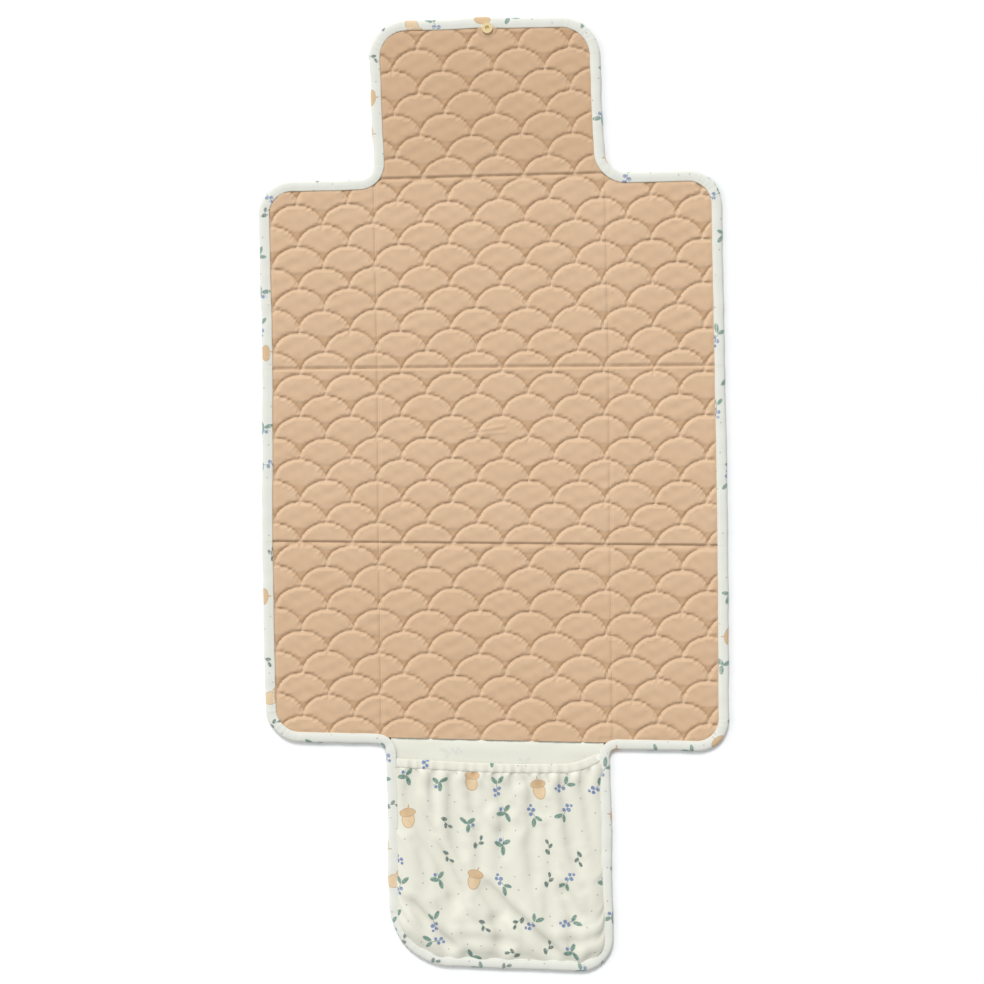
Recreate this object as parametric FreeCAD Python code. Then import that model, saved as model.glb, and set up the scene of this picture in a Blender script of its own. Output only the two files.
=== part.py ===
# Folding travel changing mat, laid open with its quilted side up.
# Nine quilted panels in a three by three grid fold on flat fabric seams, a closing tab stands
# above them and a gathered pocket hangs below. A press stud holds the folded mat shut.
# X runs across the mat, +Y points to the tab, +Z up. The origin is the centre of the underside.
import FreeCAD, Part

import os

# outline of the open mat, mm
PAD_HALF_WIDTH = 230.5
PAD_END = 473.0
SHOULDER = 315.5
UPPER_SEAM = 124.5
MIDDLE_SEAM = -51.5
POCKET_SEAM = -253.0
WING_SEAM = 115.5
TAB_HALF_WIDTH = 115.0
POCKET_HALF_WIDTH = 111.5
PAD_RADIUS = 32.0
TAB_RADIUS = 38.0
POCKET_RADIUS = 48.0
SEAM_GAP = 0.6

# layers of a quilted panel, heights above the underside
PANEL_THICKNESS = 5.0
SHELL_TOP = 0.8
COVER_LOW = 4.2

# folded binding tape that wraps every outer edge
BINDING_WIDTH = 10.0
BINDING_WALL = 1.0
BINDING_FLANGE = 0.5

# pocket, heights above the underside
POCKET_SHELL_TOP = 1.2
POCKET_LINING_TOP = 2.4
POCKET_SEAM_TOP = 3.2
POCKET_HEIGHT = 11.6
POCKET_SLOPE = 14.0
POCKET_CLOTH = 1.2
HEM_TOP = -268.0
HEM_WIDTH = 9.0
HEM_THICKNESS = 2.4
ELASTIC_WIDTH = 6.0
ELASTIC_COVER = 0.8
ELASTIC_THICKNESS = 0.8

# press stud: socket half on the tab, stud half on the back of the pocket
SNAP_Y = 463.3
SNAP_HEAD_RADIUS = 5.5
SNAP_SOCKET_RADIUS = 5.3
SNAP_RIVET_RADIUS = 1.5
SNAP_CAP_TOP = 0.9
SOCKET_HEIGHT = 1.7
SOCKET_FLOOR = 0.5
SOCKET_BORE_RADIUS = 2.2
SOCKET_GROOVE_RADIUS = 2.95
SOCKET_GROOVE_LOW = 5.5
SPRING_RADIUS = 2.6
SPRING_WIRE_RADIUS = 0.3
STUD_NUB_RADIUS = 1.8
STUD_NUB_LOW = 0.2
STUD_FLANGE_LOW = 1.6
STUD_RECESS_RADIUS = 9.0
PATCH_THICKNESS = 0.8
TAB_PATCH_THICKNESS = 0.4
TAB_PATCH_RADIUS = 8.0
POCKET_PATCH_RADIUS = 12.0
RIVET_HEAD_RADIUS = 5.0

HUGE = 2000.0

# The folded mat stacks: lower panel, middle panel turned over, upper panel upright, pocket turned
# over, tab turned over. The stud lies on the pocket where the tab's socket then comes to rest.
TAB_SEAM_FOLDED = 2 * MIDDLE_SEAM - 2 * UPPER_SEAM + SHOULDER
SNAP_Y_FOLDED = TAB_SEAM_FOLDED - (SNAP_Y - SHOULDER)
STUD_Y = 2 * POCKET_SEAM - SNAP_Y_FOLDED


def vector(x, y, z=0.0):
    return FreeCAD.Vector(x, y, z)


def rounded_wire(left, right, bottom, top, low_radius, high_radius, z):
    """Closed wire of a rectangle with one radius on its lower corners and one on its upper."""
    corners = (
        (left, bottom, 1, 1, low_radius),
        (right, bottom, -1, 1, low_radius),
        (right, top, -1, -1, high_radius),
        (left, top, 1, -1, high_radius),
    )
    bulge = 1 - 0.5**0.5
    runs = []
    for x, y, inward_x, inward_y, radius in corners:
        on_side = vector(x, y + inward_y * radius, z)
        middle = vector(x + inward_x * radius * bulge, y + inward_y * radius * bulge, z)
        on_end = vector(x + inward_x * radius, y, z)
        order = (on_side, middle, on_end)
        runs.append(order if inward_x == inward_y else order[::-1])
    edges = []
    for here, after in zip(runs, runs[1:] + runs[:1]):
        if (here[0] - here[2]).Length > 0.01:
            edges.append(Part.Arc(*here).toShape())
        edges.append(Part.makeLine(here[2], after[0]))
    return Part.Wire(edges)


def extrude(wire, height):
    return Part.Face(wire).extrude(vector(0, 0, height))


def block(x_range, y_range, z_range=(-HUGE, HUGE)):
    size = [high - low for low, high in (x_range, y_range, z_range)]
    return Part.makeBox(*size, vector(x_range[0], y_range[0], z_range[0]))


def disc(radius, y, low, high):
    return Part.makeCylinder(radius, high - low, vector(0, y, low))


def pad_prism(inset, low, high):
    """The quilted pad with its tab, drawn in from its outline by inset."""
    half = PAD_HALF_WIDTH - inset
    radius = PAD_RADIUS - inset
    main = rounded_wire(
        -half, half, POCKET_SEAM + inset, SHOULDER - inset, radius, radius, low
    )
    half = TAB_HALF_WIDTH - inset
    tab = rounded_wire(
        -half, half, UPPER_SEAM, PAD_END - inset, 0.0, TAB_RADIUS - inset, low
    )
    whole = extrude(main, high - low).fuse(extrude(tab, high - low))
    return whole.removeSplitter()


def pocket_wire(inset, z):
    """The pocket's outline, drawn in on its sewn sides only."""
    half = POCKET_HALF_WIDTH - inset
    top = POCKET_SEAM - SEAM_GAP / 2
    return rounded_wire(
        -half, half, -PAD_END + inset, top, POCKET_RADIUS - inset, 0.0, z
    )


def pocket_prism(inset, low, high):
    return extrude(pocket_wire(inset, low), high - low)


def pocket_puff(depth):
    """The room under the pocket's front, a given depth inside its outer face."""
    rim = pocket_wire(BINDING_WIDTH + depth, POCKET_LINING_TOP)
    crown = pocket_wire(BINDING_WIDTH + POCKET_SLOPE + depth, POCKET_HEIGHT - depth)
    return Part.makeLoft([rim, crown], True, True)


def band(bottom, top):
    """All the space between two lines across the mat."""
    return block((-HUGE, HUGE), (bottom, top))


def panel_cells():
    """The space of each quilted panel, parted by the seam gap at every fold."""
    gap = SEAM_GAP / 2
    columns = {
        "left": (-HUGE, -WING_SEAM - gap),
        "centre": (-WING_SEAM + gap, WING_SEAM - gap),
        "right": (WING_SEAM + gap, HUGE),
    }
    rows = {
        "upper": (UPPER_SEAM + gap, SHOULDER - gap),
        "middle": (MIDDLE_SEAM + gap, UPPER_SEAM - gap),
        "lower": (-PAD_END, MIDDLE_SEAM - gap),
    }
    cells = {
        f"{row}_{column}": block(x_range, y_range)
        for row, y_range in rows.items()
        for column, x_range in columns.items()
    }
    cells["tab"] = block((-HUGE, HUGE), (SHOULDER + gap, HUGE))
    return cells


def pad_layers():
    """Outer shell, wadding and quilted cover of the whole pad, tucked into the binding."""
    flange_top = PANEL_THICKNESS - BINDING_FLANGE
    shell = pad_prism(BINDING_WALL, BINDING_FLANGE, SHELL_TOP)
    shell = shell.fuse(pad_prism(BINDING_WIDTH, 0, BINDING_FLANGE))
    wadding = pad_prism(BINDING_WALL, SHELL_TOP, COVER_LOW)
    cover = pad_prism(BINDING_WALL, COVER_LOW, flange_top)
    cover = cover.fuse(pad_prism(BINDING_WIDTH, flange_top, PANEL_THICKNESS))
    return {"outer_shell": shell, "wadding": wadding, "quilted_cover": cover}


def pad_binding():
    """Binding tape of C section round the whole pad."""
    flange_top = PANEL_THICKNESS - BINDING_FLANGE
    tape = pad_prism(0, 0, PANEL_THICKNESS)
    tape = tape.cut(pad_prism(BINDING_WALL, BINDING_FLANGE, flange_top))
    return tape.cut(pad_prism(BINDING_WIDTH, 0, PANEL_THICKNESS))


def socket_seat():
    """Everything that the press stud's socket half takes out of the tab."""
    seat = disc(SNAP_HEAD_RADIUS, SNAP_Y, 0, SNAP_CAP_TOP)
    seat = seat.fuse(disc(SNAP_RIVET_RADIUS, SNAP_Y, SNAP_CAP_TOP, COVER_LOW))
    patch_low = COVER_LOW - TAB_PATCH_THICKNESS
    seat = seat.fuse(disc(TAB_PATCH_RADIUS, SNAP_Y, patch_low, COVER_LOW))
    return seat.fuse(disc(SNAP_SOCKET_RADIUS, SNAP_Y, COVER_LOW, PANEL_THICKNESS))


def pad_nodes():
    """Every layer and stretch of binding, panel by panel."""
    layers = pad_layers()
    binding = pad_binding()
    pocket_width = block((-POCKET_HALF_WIDTH, POCKET_HALF_WIDTH), (-PAD_END, -200.0))
    seat = socket_seat()
    nodes = {}
    for panel, cell in panel_cells().items():
        for layer, shape in layers.items():
            nodes[f"{panel}_{layer}"] = shape.common(cell)
        tape = binding.common(cell)
        if panel == "lower_centre":
            nodes["pocket_seam_strip"] = tape.common(pocket_width)
            tape = tape.cut(pocket_width)
        if panel != "middle_centre":
            nodes[f"{panel}_binding"] = tape
    for name in ("outer_shell", "wadding", "quilted_cover", "binding"):
        nodes[f"tab_{name}"] = nodes[f"tab_{name}"].cut(seat)
    return nodes


def pocket_nodes():
    """Back, front, gathered hem with its elastic, and binding of the pocket."""
    hem_bottom = HEM_TOP - HEM_WIDTH
    recess = disc(STUD_RECESS_RADIUS, STUD_Y, 0, POCKET_LINING_TOP)
    shell = pocket_prism(BINDING_WALL, BINDING_FLANGE, POCKET_SHELL_TOP)
    shell = shell.fuse(pocket_prism(BINDING_WIDTH, 0, BINDING_FLANGE))
    lining = pocket_prism(BINDING_WALL, POCKET_SHELL_TOP, POCKET_LINING_TOP)

    allowance = pocket_prism(BINDING_WALL, POCKET_LINING_TOP, POCKET_SEAM_TOP)
    inside = pocket_prism(
        BINDING_WIDTH + POCKET_CLOTH, POCKET_LINING_TOP, POCKET_SEAM_TOP
    )
    cloth = pocket_puff(0).cut(pocket_puff(POCKET_CLOTH))
    front = allowance.cut(inside).fuse(cloth.common(band(-PAD_END, hem_bottom)))

    elastic = pocket_puff(ELASTIC_COVER)
    elastic = elastic.cut(pocket_puff(ELASTIC_COVER + ELASTIC_THICKNESS))
    side = (HEM_WIDTH - ELASTIC_WIDTH) / 2
    elastic = elastic.common(band(hem_bottom + side, HEM_TOP - side))
    hem = pocket_puff(0).cut(pocket_puff(HEM_THICKNESS))
    hem = hem.common(band(hem_bottom, HEM_TOP)).cut(elastic).cut(front)

    rim_top = POCKET_SEAM_TOP + BINDING_FLANGE
    tape = pocket_prism(0, 0, rim_top)
    tape = tape.cut(pocket_prism(BINDING_WALL, BINDING_FLANGE, POCKET_SEAM_TOP))
    tape = tape.cut(pocket_prism(BINDING_WIDTH, 0, rim_top))
    return {
        "pocket_outer_shell": shell.cut(recess),
        "pocket_lining": lining.cut(recess),
        "pocket_front": front,
        "pocket_hem": hem,
        "pocket_hem_elastic": elastic.cut(front),
        "pocket_binding": tape,
    }


def socket_half():
    """Cap, patch, socket and its ring spring, riveted through the end of the tab."""
    cap = disc(SNAP_HEAD_RADIUS, SNAP_Y, 0, SNAP_CAP_TOP)
    cap = cap.fuse(disc(SNAP_RIVET_RADIUS, SNAP_Y, SNAP_CAP_TOP, COVER_LOW))
    patch = disc(TAB_PATCH_RADIUS, SNAP_Y, COVER_LOW - TAB_PATCH_THICKNESS, COVER_LOW)
    top = PANEL_THICKNESS + SOCKET_HEIGHT
    socket = disc(SNAP_SOCKET_RADIUS, SNAP_Y, COVER_LOW, top)
    socket = socket.cut(disc(SOCKET_BORE_RADIUS, SNAP_Y, COVER_LOW + SOCKET_FLOOR, top))
    groove_top = SOCKET_GROOVE_LOW + 2 * SPRING_WIRE_RADIUS
    groove = disc(SOCKET_GROOVE_RADIUS, SNAP_Y, SOCKET_GROOVE_LOW, groove_top)
    spring_place = vector(0, SNAP_Y, SOCKET_GROOVE_LOW + SPRING_WIRE_RADIUS)
    return {
        "snap_cap": cap,
        "snap_tab_patch": patch.cut(disc(SNAP_RIVET_RADIUS, SNAP_Y, 0, COVER_LOW)),
        "snap_socket": socket.cut(groove),
        "snap_socket_spring": Part.makeTorus(
            SPRING_RADIUS, SPRING_WIRE_RADIUS, spring_place
        ),
    }


def stud_half():
    """Stud, patch and rivet, set back into the underside of the pocket."""
    patch_top = POCKET_LINING_TOP + PATCH_THICKNESS
    rivet_top = patch_top + PATCH_THICKNESS
    patch = disc(POCKET_PATCH_RADIUS, STUD_Y, POCKET_LINING_TOP, patch_top)
    hole = disc(SNAP_RIVET_RADIUS, STUD_Y, 0, patch_top)
    stud = disc(SNAP_HEAD_RADIUS, STUD_Y, STUD_FLANGE_LOW, POCKET_LINING_TOP)
    stud = stud.fuse(disc(STUD_NUB_RADIUS, STUD_Y, STUD_NUB_LOW, STUD_FLANGE_LOW))
    rivet = disc(RIVET_HEAD_RADIUS, STUD_Y, patch_top, rivet_top)
    rivet = rivet.fuse(disc(SNAP_RIVET_RADIUS, STUD_Y, POCKET_LINING_TOP, patch_top))
    return {
        "snap_pocket_patch": patch.cut(hole),
        "snap_stud": stud,
        "snap_stud_rivet": rivet,
    }


def main():
    os.makedirs("parts", exist_ok=True)
    nodes = {}
    nodes.update(pad_nodes())
    nodes.update(pocket_nodes())
    nodes.update(socket_half())
    nodes.update(stud_half())
    for name, shape in nodes.items():
        if not shape.isValid() or not shape.Solids:
            raise ValueError(f"{name} is not a valid solid")
        shape.exportStep(f"parts/{name}.step")
        print(name, len(shape.Solids), round(shape.Volume))


main()
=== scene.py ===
import math
from functools import reduce

import bpy
import numpy as np
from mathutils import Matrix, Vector
from mathutils.kdtree import KDTree


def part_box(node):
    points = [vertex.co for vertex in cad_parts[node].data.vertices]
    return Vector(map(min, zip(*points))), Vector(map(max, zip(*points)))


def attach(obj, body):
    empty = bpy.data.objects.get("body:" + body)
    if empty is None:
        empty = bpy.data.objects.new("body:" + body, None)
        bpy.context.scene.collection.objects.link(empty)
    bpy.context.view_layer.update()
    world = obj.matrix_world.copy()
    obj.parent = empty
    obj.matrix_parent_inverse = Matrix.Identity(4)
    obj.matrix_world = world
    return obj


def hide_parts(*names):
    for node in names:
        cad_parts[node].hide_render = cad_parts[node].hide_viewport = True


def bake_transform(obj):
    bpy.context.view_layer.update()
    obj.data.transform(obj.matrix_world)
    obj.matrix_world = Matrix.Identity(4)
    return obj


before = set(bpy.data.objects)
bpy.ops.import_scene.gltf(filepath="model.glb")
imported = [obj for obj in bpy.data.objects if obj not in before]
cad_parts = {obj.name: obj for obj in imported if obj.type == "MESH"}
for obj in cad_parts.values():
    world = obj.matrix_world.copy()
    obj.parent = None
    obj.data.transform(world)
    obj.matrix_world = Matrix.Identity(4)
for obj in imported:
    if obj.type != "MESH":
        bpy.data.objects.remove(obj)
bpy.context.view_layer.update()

MM = 0.001

# -------- places, from the frame


def low(node):
    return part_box(node)[0]


def high(node):
    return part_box(node)[1]


def seam_between(before, after, axis="y"):
    """Halfway across the gap between the outer shells of two panels."""
    start, end = high(f"{before}_outer_shell"), low(f"{after}_outer_shell")
    return (getattr(start, axis) + getattr(end, axis)) / 2


HALF_WIDTH = high("upper_right_binding").x
TAB_HALF = high("tab_binding").x
POCKET_HALF = high("pocket_binding").x
PAD_TOP = high("tab_binding").y
PAD_BOTTOM = low("pocket_binding").y
POCKET_SEAM = low("lower_left_binding").y
SHOULDER = seam_between("upper_centre", "tab")
UPPER_SEAM = seam_between("middle_centre", "upper_centre")
MIDDLE_SEAM = seam_between("lower_centre", "middle_centre")
WING_SEAM = seam_between("upper_centre", "upper_right", "x")
CROSS_SEAMS = (MIDDLE_SEAM, UPPER_SEAM, SHOULDER)
BINDING = high("pocket_seam_strip").y - low("pocket_seam_strip").y
HEM_BOTTOM = low("pocket_hem").y
QUILT_LOW_EDGE = POCKET_SEAM + 6.5 * MM
STUD = (low("snap_stud_rivet") + high("snap_stud_rivet")) / 2
SIDES = ("left", "right")
ROW_SPANS = {
    "lower": (POCKET_SEAM, MIDDLE_SEAM),
    "middle": (MIDDLE_SEAM, UPPER_SEAM),
    "upper": (UPPER_SEAM, SHOULDER),
}

# radii of the corners of the outline
PAD_CORNER = 33 * MM
TAB_CORNER = 38 * MM
POCKET_CORNERS = (60 * MM, 36 * MM)
POCKET_FILLET = 8 * MM
SHOULDER_FILLETS = (16 * MM, 22 * MM)


def around(middle, half):
    """The two ends of a stretch, from its middle and half its length."""
    return middle - half, middle + half


# where the strip of cloth that bends at each fold starts and ends
WING_BEND = around(WING_SEAM, 3 * MM)
MIDDLE_BEND = around(MIDDLE_SEAM, 5.5 * MM)
UPPER_BEND = around(UPPER_SEAM, 3 * MM)
TAB_BEND = (SHOULDER, SHOULDER + 16 * MM)
POCKET_BEND = (POCKET_SEAM - 3.5 * MM, POCKET_SEAM - 23.5 * MM)

# half the cut between the side panels of two rows, which no fold joins
SEAM_GAP = 0.04 * MM
# how far inside the outline the cloth that the binding holds is cut
TUCKED_IN = 4 * MM

# heights of the quilted face, the printed underside, the pocket's lining and its front
STITCH_Z = 2.3 * MM
SEAM_Z = 2.7 * MM
RIM_Z = 3.3 * MM
PAD_THICK = high("upper_left_binding").z
QUILT_BACK_Z = 1.1 * MM
BACK_Z = 0.35 * MM
BACK_RIM_Z = 0.8 * MM
LINING_Z = high("pocket_lining").z
POUCH_REST_Z = LINING_Z + 0.9 * MM
POCKET_TOP = high("pocket_front").z

# how the cloth lies askew, from the pad's bottom to its top, in millimetres: how far its
# right edge is up and its left edge down, how far all of it is up, how far it is to the
# right, and how far the side panels spread
LAY_AT = (PAD_BOTTOM, POCKET_SEAM, MIDDLE_SEAM, UPPER_SEAM, SHOULDER, PAD_TOP)
LAY = (
    (-11.0, -9.0, -5.5, -1.5, 2.8, 1.5),
    (-3.0, -1.5, 0.0, 0.0, 0.0, 0.0),
    (1.5, 0.0, 0.3, 1.5, 0.3, -4.0),
    (0.0, 0.5, 2.0, 0.4, 0.5, 0.0),
)


def lay(points):
    """Square cloth moved to how it lies at rest."""
    points = np.array(points, float)
    x, y = points[..., 0].copy(), points[..., 1].copy()
    tilt, up, aside, spread = (np.interp(y, LAY_AT, np.array(amounts) * MM) for amounts in LAY)
    inner = WING_SEAM + 8 * MM
    outer = np.clip((np.abs(x) - inner) / (HALF_WIDTH - inner), 0, 1)
    points[..., 0] += aside + np.sign(x) * outer * spread
    points[..., 1] += tilt / HALF_WIDTH * points[..., 0] + up
    return points


def smooth_noise(x, y, size, seed):
    """Soft random field between about -1 and 1, with features of the given size."""
    rng = np.random.default_rng(seed)
    total = np.zeros(np.broadcast(x, y).shape)
    for _ in range(10):
        angle = rng.uniform(0, 2 * math.pi)
        wave = 2 * math.pi / (size * rng.uniform(0.7, 1.5))
        phase = rng.uniform(0, 2 * math.pi)
        total += np.sin(wave * (x * math.cos(angle) + y * math.sin(angle)) + phase)
    return total / 4.5


def hump(distance, width, power=2):
    """A soft rise that is 1 where the distance is 0 and fades out beyond the width."""
    return np.exp(-((distance / width) ** power))


def beside_run(x, y, start, end):
    """How far along a straight run from start to end each place is, and how far from it."""
    length = math.dist(start, end)
    step_x, step_y = (end[0] - start[0]) / length, (end[1] - start[1]) / length
    along = np.clip((x - start[0]) * step_x + (y - start[1]) * step_y, 0, length)
    return along, np.hypot(x - start[0] - along * step_x, y - start[1] - along * step_y)


def fold_along(x, y, route, width):
    """A fold along a route of points, fading out at its ends, from 0 to 1."""
    lengths = running_length(np.array(route, float))
    nearest = np.full(x.shape, 1e9)
    share = np.zeros(x.shape)
    for start, end, before in zip(route[:-1], route[1:], lengths):
        along, away = beside_run(x, y, start, end)
        closer = away < nearest
        nearest = np.where(closer, away, nearest)
        share = np.where(closer, (before + along) / lengths[-1], share)
    fade = np.clip(5 * (1 - share), 0, 1) * np.clip(6 * share + 0.4, 0, 1)
    return hump(nearest, width, 1.6) * fade * (3 - 2 * fade) * fade


def running_length(points):
    """The length along a line of points, from its start to each of them."""
    return np.concatenate([[0], np.cumsum(np.linalg.norm(np.diff(points, axis=0), axis=1))])


# -------- which body a place follows


def trimmed(piece, points):
    """Points of a side panel kept just clear of the panels in the rows beside it."""
    row, _, side = piece.partition("_")[2].partition("_")
    if side in SIDES:
        start, end = ROW_SPANS[row]
        if row != "lower":
            points[:, 1] = np.maximum(points[:, 1], start + SEAM_GAP)
        if row != "upper":
            points[:, 1] = np.minimum(points[:, 1], end - SEAM_GAP)
    return points


def bend_x(before, after, side):
    sign = -1 if side == "left" else 1
    return {"blend": (before, after, *((sign * value, 0, 0) for value in WING_BEND))}


def bend_y(before, after, start, end):
    return {"blend": (before, after, (0, start, 0), (0, end, 0))}


def regions(x, y):
    """Every region of the cloth, as its name, where it is and what it follows. Beside a fold
    the cloth is cut a little outside the strip that bends, so that both sides agree."""
    low_cut = MIDDLE_BEND[0] - 5.5 * MM
    high_cut = UPPER_BEND[0] - 3.6 * MM
    centre = np.abs(x) < WING_BEND[0] - 2.5 * MM
    tab = (y > SHOULDER) | (centre & (y > SHOULDER - 3 * MM))
    pocket = y < POCKET_SEAM
    middle_fold = bend_y("lower_centre", "middle_centre", *MIDDLE_BEND)
    upper_fold = bend_y("middle_centre", "upper_centre", *UPPER_BEND)
    found = [
        ("lower_centre", centre & (y < low_cut) & ~pocket, {"body": "lower_centre"}),
        ("middle_centre", centre & (y > low_cut) & (y < high_cut), middle_fold),
        ("upper_centre", centre & (y > high_cut) & ~tab, upper_fold),
        ("tab", tab, bend_y("upper_centre", "tab", *TAB_BEND)),
        ("pocket", pocket, bend_y("lower_centre", "pocket", *POCKET_BEND)),
    ]
    for side in SIDES:
        beside = x < 0 if side == "left" else x > 0
        for row, (start, end) in ROW_SPANS.items():
            where = beside & ~centre & (y > start) & (y < end)
            found.append((f"{row}_{side}", where, bend_x(f"{row}_centre", f"{row}_{side}", side)))
    return found


# -------- outline


def rounded_box(x, y, left, right, bottom, top, radius):
    """Signed distance to a rectangle with round corners, negative inside."""
    away_x = np.abs(x - (left + right) / 2) - (right - left) / 2 + radius
    away_y = np.abs(y - (bottom + top) / 2) - (top - bottom) / 2 + radius
    outside = np.hypot(np.maximum(away_x, 0), np.maximum(away_y, 0))
    return outside + np.minimum(np.maximum(away_x, away_y), 0) - radius


def inset(x, y):
    """How far a point is inside the edge of the quilted pad, its shoulders filled out round."""
    body = rounded_box(x, y, -HALF_WIDTH, HALF_WIDTH, POCKET_SEAM, SHOULDER, PAD_CORNER)
    tab = rounded_box(x, y, -TAB_HALF, TAB_HALF, UPPER_SEAM, PAD_TOP, TAB_CORNER)
    round_off = 24 * MM
    mix = np.clip(0.5 + 0.5 * (tab - body) / round_off, 0, 1)
    return -(tab * (1 - mix) + body * mix - round_off * mix * (1 - mix))


def pocket_inset(x, y):
    """How far a point is inside the edge of the pocket, which has no top edge."""
    top, radius = POCKET_SEAM + 60 * MM, sum(POCKET_CORNERS) / 2
    return -rounded_box(x, y, -POCKET_HALF, POCKET_HALF, PAD_BOTTOM, top, radius)


def rounded_path(corners, step):
    """Evenly spaced points, tangents and running length round a closed line of
    straight runs and round corners, each corner being x, y and radius."""
    fine = []
    for n, (x, y, radius) in enumerate(corners):
        here = np.array((x, y))
        back = np.array(corners[n - 1][:2]) - here
        ahead = np.array(corners[(n + 1) % len(corners)][:2]) - here
        back /= np.linalg.norm(back)
        ahead /= np.linalg.norm(ahead)
        centre = here + (back + ahead) * radius
        for turn in np.linspace(0, math.pi / 2, 40):
            fine.append(centre - ahead * radius * math.cos(turn) - back * radius * math.sin(turn))
    fine = np.array(fine + fine[:1])
    run = running_length(fine)
    stations = np.linspace(0, run[-1], round(run[-1] / step), endpoint=False)
    points = np.stack([np.interp(stations, run, fine[:, k]) for k in (0, 1)], 1)
    tangents = np.roll(points, -1, 0) - np.roll(points, 1, 0)
    tangents /= np.linalg.norm(tangents, axis=1)[:, None]
    return points, tangents, stations


def outline():
    """The outer edge of the whole open pad, clockwise from the pocket's left corner."""
    left, right = (
        [
            (sign * POCKET_HALF, PAD_BOTTOM, pocket_corner),
            (sign * POCKET_HALF, POCKET_SEAM, POCKET_FILLET),
            (sign * HALF_WIDTH, POCKET_SEAM, PAD_CORNER),
            (sign * HALF_WIDTH, SHOULDER, PAD_CORNER),
            (sign * TAB_HALF, SHOULDER, fillet),
            (sign * TAB_HALF, PAD_TOP, TAB_CORNER),
        ]
        for sign, pocket_corner, fillet in zip((-1, 1), POCKET_CORNERS, SHOULDER_FILLETS)
    )
    return rounded_path(left + right[::-1], 2 * MM)


# -------- meshes


def placed(name, data):
    obj = bpy.data.objects.new(name, data)
    bpy.context.scene.collection.objects.link(obj)
    return obj


def configure(thing, settings):
    for key, value in settings.items():
        setattr(thing, key, value)


def new_object(name, points, faces, uv=None, normals=None, floats=None):
    mesh = bpy.data.meshes.new(name)
    mesh.from_pydata(np.asarray(points, float).tolist(), [], np.asarray(faces).tolist())
    mesh.update()
    mesh.shade_smooth()
    if uv is not None:
        corner = np.zeros(len(mesh.loops), np.int32)
        mesh.loops.foreach_get("vertex_index", corner)
        layer = mesh.uv_layers.new(name="cloth")
        layer.data.foreach_set("uv", np.asarray(uv, np.float32)[corner].ravel())
    for key, values in (floats or {}).items():
        layer = mesh.attributes.new(key, "FLOAT", "POINT")
        layer.data.foreach_set("value", np.asarray(values, np.float32))
    if normals is not None:
        mesh.normals_split_custom_set_from_vertices(np.asarray(normals, float).tolist())
    return placed(name, mesh)


def cell_middles(x, y):
    return (x[1:, 1:] + x[:-1, :-1]) / 2, (y[1:, 1:] + y[:-1, :-1]) / 2


def whole_cells(keep):
    """The cells of a grid whose four corners are all kept."""
    return keep[:-1, :-1] & keep[1:, :-1] & keep[:-1, 1:] & keep[1:, 1:]


def cell_corners(grid):
    """The numbers of the four points round every cell of a grid."""
    index = np.arange(grid.shape[0] * grid.shape[1]).reshape(grid.shape[:2])
    return np.stack([index[:-1, :-1], index[:-1, 1:], index[1:, 1:], index[1:, :-1]], -1)


def grid_normals(points):
    normal = np.cross(np.gradient(points, axis=1), np.gradient(points, axis=0))
    return normal / np.maximum(np.linalg.norm(normal, axis=2, keepdims=True), 1e-12)


def patch(grid, cells):
    """The points that the marked cells of a grid use, and the cells by those points."""
    quads = cell_corners(grid)[cells]
    used, faces = np.unique(quads, return_inverse=True)
    return used, faces.reshape(quads.shape)


def rim_edges(grid, cells):
    """The edges of the marked cells that have no marked cell beyond them."""
    padded = np.pad(cells, 1)
    beyond = (padded[:-2, 1:-1], padded[1:-1, 2:], padded[2:, 1:-1], padded[1:-1, :-2])
    corners = cell_corners(grid)
    return np.concatenate([corners[..., [n, (n + 1) % 4]][cells & ~beyond[n]] for n in range(4)])


def sheet_piece(name, top, cells, uv, facing_down=False):
    """One layer of cloth from the marked cells of a grid of points."""
    used, faces = patch(top, cells)
    normals = grid_normals(top).reshape(-1, 3)[used]
    if facing_down:
        faces, normals = faces[:, ::-1], -normals
    points = lay(trimmed(name, top.reshape(-1, 3)[used]))
    return new_object(name, points, faces, uv.reshape(-1, 2)[used], normals)


def padded_piece(name, top, bottom, cells, uv, floats):
    """A closed padded panel: the quilted face, a flat back and walls round the rim."""
    used, faces = patch(top, cells)
    size = len(used)
    rim = np.searchsorted(used, rim_edges(top, cells))
    walls = np.stack([rim[:, 1], rim[:, 0], rim[:, 0] + size, rim[:, 1] + size], 1)
    faces = np.concatenate([faces, faces[:, ::-1] + size, walls])
    points = np.concatenate([top.reshape(-1, 3)[used], bottom.reshape(-1, 3)[used]])
    points = lay(trimmed(name, points))
    normals = np.concatenate([grid_normals(top).reshape(-1, 3)[used], np.tile((0, 0, -1.0), (size, 1))])
    cloth = np.tile(uv.reshape(-1, 2)[used], (2, 1))
    picked = {key: np.tile(value.ravel()[used], 2) for key, value in floats.items()}
    return new_object(name, points, faces, cloth, normals, picked)


def finish_piece(obj, material, slot, nodes, body=None, blend=None):
    """Its material, and what it stands for; a piece on one body is attached to that body, and a piece given
    a blend between two bodies only has its transform applied. nodes are the CAD nodes it replaces.
    """
    obj.data.materials.append(material)
    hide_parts(*nodes)
    if body:
        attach(obj, body)
    if blend:
        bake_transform(obj)


# -------- cloth simulation

CLOTH_SETTINGS = {
    "quality": 5,
    "mass": 0.15,
    "tension_stiffness": 15,
    "compression_stiffness": 15,
    "shear_stiffness": 5,
    "bending_stiffness": 0.8,
    "air_damping": 5,
}
CLOTH_FRAMES = 8
# the push of the wadding under the cover, as an upward acceleration
WADDING_LIFT = 9.8


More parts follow.
